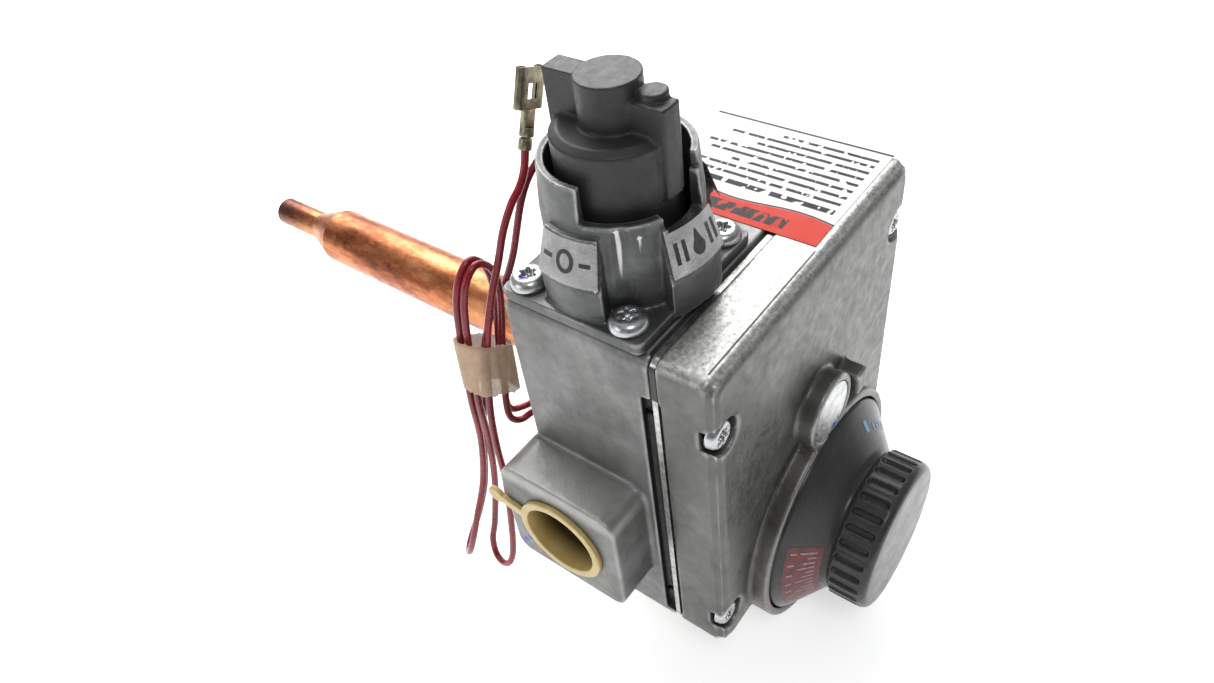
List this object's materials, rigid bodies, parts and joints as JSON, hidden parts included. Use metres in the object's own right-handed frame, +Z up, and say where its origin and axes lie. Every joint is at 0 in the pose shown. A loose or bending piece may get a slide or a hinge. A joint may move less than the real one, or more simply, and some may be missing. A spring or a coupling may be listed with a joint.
{
  "type": "gas valve",
  "caption": "Combination gas valve for a storage water heater: cock knob on a turret, temperature dial, side inlet, rear sensor tube and bundled cut-off leads.",
  "frame": {"origin": "centre of the tank shank's shoulder, on the back face of the body", "axes": "+Y along the shank and sensor tube into the tank, +Z up towards the gas cock knob, +X to the right seen from the dial"},
  "size_m": [0.095, 0.225, 0.1504],
  "materials": {
    "die_cast": "satin",
    "cover_cast": "satin",
    "zinc_steel": "satin",
    "spring_steel": "satin",
    "fibre_gasket": "matt",
    "rubber": "matt",
    "black_plastic": "satin",
    "brass": "satin",
    "copper": "satin",
    "yellow_plastic": "satin",
    "red_insulation": "gloss",
    "terminal_plate": "satin",
    "masking_tape": "matt",
    "label": "satin"
  },
  "bodies": {
    "valve": {"valve_body": "die_cast", "front_cover": "cover_cast", "divider_plate": "zinc_steel", "cover_gasket": "fibre_gasket", "cover_screws": "zinc_steel", "bonnet": "die_cast", "bonnet_gasket": "fibre_gasket", "bonnet_screws": "zinc_steel", "stem_seal": "rubber", "safety_magnet": "zinc_steel", "thermocouple_socket": "brass", "dial_bushing": "brass", "thermostat_bracket": "zinc_steel", "lever_pin": "zinc_steel", "main_seat": "brass", "regulator_cap": "zinc_steel", "regulator_screw": "brass", "regulator_diaphragm": "rubber", "tank_shank": "brass", "sensor_tube": "copper", "sensor_rod": "zinc_steel", "cutoff_capsule": "zinc_steel", "inlet_boss": "die_cast", "inlet_screen": "zinc_steel", "pilot_fitting": "brass", "burner_seat": "brass", "tap_plug": "brass", "lead_grommet": "rubber", "red_lead_a": "red_insulation", "red_lead_b": "red_insulation", "terminal_a": "terminal_plate", "terminal_b": "terminal_plate", "lead_tape": "masking_tape", "warning_label": "label"},
    "cock": {"gas_cock_plug": "brass", "cock_spring": "spring_steel"},
    "knob": {"gas_cock_knob": "black_plastic", "cock_stem": "zinc_steel", "drive_pin": "zinc_steel", "reset_rod": "brass", "knob_spring": "spring_steel"},
    "armature": {"armature": "zinc_steel", "closing_disc": "rubber", "magnet_spring": "spring_steel"},
    "dial": {"thermostat_dial": "black_plastic", "dial_stem": "zinc_steel"},
    "lever": {"thermostat_lever": "zinc_steel", "range_spring": "spring_steel"},
    "main_valve": {"main_valve": "zinc_steel", "main_valve_disc": "rubber", "main_valve_spring": "spring_steel"},
    "regulator": {"regulator_poppet": "brass", "regulator_spring": "spring_steel"},
    "plug": {"inlet_plug": "yellow_plastic"}
  },
  "joints": [
    {"name": "cock_turn", "type": "hinge", "parent": "valve", "child": "cock", "pos_m": [-0.0205, -0.017, 0.06], "axis": [0, 0, 1], "range_deg": [-90, 90]},
    {"name": "knob_press", "type": "slide", "parent": "cock", "child": "knob", "axis": [0, 0, -1], "range_m": [0, 0.005], "stiffness_N_per_m": 900, "springref_m": -0.004, "deforming": ["knob_spring"]},
    {"name": "armature_lift", "type": "slide", "parent": "valve", "child": "armature", "axis": [0, 0, -1], "range_m": [0, 0.004], "deforming": ["magnet_spring"]},
    {"name": "dial_turn", "type": "hinge", "parent": "valve", "child": "dial", "pos_m": [0.0015, -0.05, -0.0207], "axis": [0, -1, 0], "range_deg": [0, 220]},
    {"name": "main_valve_lift", "type": "slide", "parent": "valve", "child": "main_valve", "axis": [0, 0, 1], "range_m": [0, 0.0015], "stiffness_N_per_m": 500, "springref_m": -0.002, "deforming": ["main_valve_spring"]},
    {"name": "lever_tilt", "type": "hinge", "parent": "valve", "child": "lever", "pos_m": [0, -0.011, 0.005], "axis": [1, 0, 0], "range_deg": [-8.6, 0], "deforming": ["range_spring"]},
    {"name": "regulator_slide", "type": "slide", "parent": "valve", "child": "regulator", "axis": [0, -1, 0], "range_m": [0, 0.0006], "stiffness_N_per_m": 300, "springref_m": -0.001, "deforming": ["regulator_spring"]},
    {"name": "plug_pull", "type": "slide", "parent": "valve", "child": "plug", "axis": [-1, 0, 0], "range_m": [0, 0.02]}
  ],
  "couplings": [
    {"joint": "armature_lift", "follows": "knob_press", "ratio": 0.8},
    {"joint": "lever_tilt", "follows": "main_valve_lift", "rad_per_m": -100}
  ]
}
